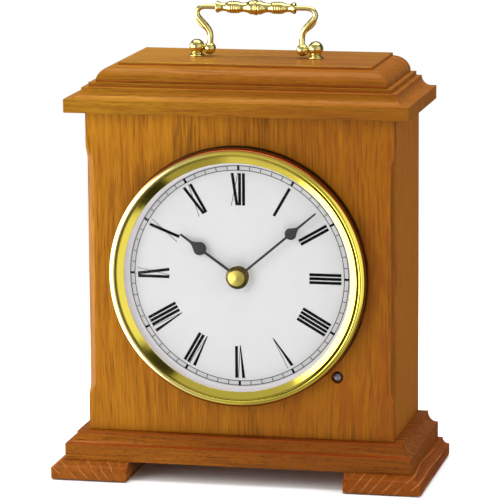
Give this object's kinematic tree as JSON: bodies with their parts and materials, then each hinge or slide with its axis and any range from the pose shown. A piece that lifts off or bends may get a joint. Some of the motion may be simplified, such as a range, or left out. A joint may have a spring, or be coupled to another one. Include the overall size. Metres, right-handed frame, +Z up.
{
  "type": "mantel clock",
  "caption": "Oak mantel clock on two rail feet with a brass bail handle, a round dial with Roman numerals behind domed glass, a melody movement and a hinged rear door.",
  "frame": {"origin": "under the middle of the clock, on the table the felt pads rest on", "axes": "+Z up, +X to the right of someone facing the dial, the dial faces -Y"},
  "size_m": [0.2382, 0.112, 0.3005],
  "materials": {
    "oak": "satin lacquered oak, vertical grain",
    "oak_moulding": "satin lacquered oak, grain along the board",
    "plywood": "thin stained plywood",
    "polished_brass": "polished and lacquered",
    "plain_brass": "turned",
    "steel": "bright zinc plated",
    "black_plastic": "moulded black",
    "white_plastic": "moulded white",
    "dial_white": "white enamel, printed black",
    "hand_black": "black enamel",
    "clear_glass": "clear domed glass",
    "felt": "green felt",
    "copper": "enamelled copper winding",
    "board": "green circuit board with black chip",
    "cell_wrap": "plain printed sleeve",
    "cone_paper": "pressed paper",
    "sensor_lens": "smoky clear",
    "lead_sleeve": "soft insulated lead"
  },
  "bodies": {
    "case": {"front_panel": "oak", "side_panel_left": "oak", "side_panel_right": "oak", "top_cap": "oak", "base_board": "oak_moulding", "cornice_board": "oak_moulding", "foot_left": "oak_moulding", "foot_right": "oak_moulding", "felt_pad_front_left": "felt", "felt_pad_front_right": "felt", "felt_pad_rear_left": "felt", "felt_pad_rear_right": "felt", "back_panel": "plywood", "door_hinge_fixed_leaf": "plain_brass", "door_hinge_pin": "plain_brass", "handle_nut_left": "plain_brass", "handle_nut_right": "plain_brass", "fixing_nut": "plain_brass", "handle_post_left": "polished_brass", "handle_post_right": "polished_brass", "bezel": "polished_brass", "sight_ring": "polished_brass", "bezel_glass": "clear_glass", "dial_plate": "dial_white", "insert_body": "black_plastic", "clamp_ring": "black_plastic", "movement_case": "black_plastic", "movement_cover": "black_plastic", "sensor_lens": "sensor_lens", "gear_plate": "white_plastic", "stator": "steel", "battery_contact_left": "steel", "battery_contact_right": "steel", "speaker_basket": "steel", "coil": "copper", "circuit_board": "board", "battery_lower": "cell_wrap", "battery_upper": "cell_wrap", "speaker_cone": "cone_paper", "sensor_lead": "lead_sleeve", "speaker_lead": "lead_sleeve"},
    "door": {"rear_door": "plywood", "door_knob": "plain_brass", "door_hinge_moving_leaf": "plain_brass"},
    "bail": {"bail_rod_left": "polished_brass", "bail_rod_right": "polished_brass", "handle_grip": "polished_brass"},
    "minute": {"centre_wheel": "plain_brass", "minute_hand": "hand_black", "hand_cap": "polished_brass"},
    "hour": {"hour_wheel": "white_plastic", "hour_hand": "hand_black"},
    "intermediate": {"intermediate_wheel": "white_plastic"},
    "rotor": {"rotor": "steel"},
    "motion": {"motion_wheel": "white_plastic", "set_knob": "white_plastic"},
    "volume": {"volume_dial": "white_plastic"},
    "melody": {"melody_switch": "white_plastic"},
    "demo": {"demo_button": "white_plastic"},
    "lid": {"battery_lid": "black_plastic"}
  },
  "joints": [
    {"name": "door_hinge", "type": "hinge", "parent": "case", "child": "door", "pos_m": [-0.061, 0.05165, 0.1193], "axis": [0, 0, 1], "range_deg": [0, 100]},
    {"name": "bail_hinge", "type": "hinge", "parent": "case", "child": "bail", "pos_m": [0, 0.0188, 0.2696], "axis": [1, 0, 0], "range_deg": [-88, 88]},
    {"name": "minute_spin", "type": "hinge", "parent": "case", "child": "minute", "pos_m": [0, 0, 0.1323], "axis": [0, 1, 0], "continuous": true},
    {"name": "hour_spin", "type": "hinge", "parent": "case", "child": "hour", "pos_m": [0, 0, 0.1323], "axis": [0, 1, 0], "continuous": true},
    {"name": "intermediate_spin", "type": "hinge", "parent": "case", "child": "intermediate", "pos_m": [0.00551, 0, 0.14184], "axis": [0, 1, 0], "continuous": true},
    {"name": "rotor_spin", "type": "hinge", "parent": "case", "child": "rotor", "pos_m": [0.0024, 0, 0.1504], "axis": [0, 1, 0], "continuous": true},
    {"name": "motion_spin", "type": "hinge", "parent": "case", "child": "motion", "pos_m": [-0.00799, 0, 0.12431], "axis": [0, 1, 0], "continuous": true},
    {"name": "volume_turn", "type": "hinge", "parent": "case", "child": "volume", "pos_m": [0.0325, 0, 0.1263], "axis": [0, 1, 0], "range_deg": [-135, 135]},
    {"name": "melody_slide", "type": "slide", "parent": "case", "child": "melody", "axis": [1, 0, 0], "range_m": [-0.004, 0.004]},
    {"name": "demo_press", "type": "slide", "parent": "case", "child": "demo", "axis": [0, -1, 0], "range_m": [0, 0.0018], "stiffness_N_per_m": 400, "springref_m": -0.001},
    {"name": "lid_slide", "type": "slide", "parent": "case", "child": "lid", "axis": [0, 0, -1], "range_m": [0, 0.015]}
  ],
  "couplings": [
    {"joint": "intermediate_spin", "follows": "minute_spin", "ratio": -6},
    {"joint": "rotor_spin", "follows": "minute_spin", "ratio": 30},
    {"joint": "motion_spin", "follows": "minute_spin", "ratio": -0.33333},
    {"joint": "hour_spin", "follows": "minute_spin", "ratio": 0.083333}
  ]
}
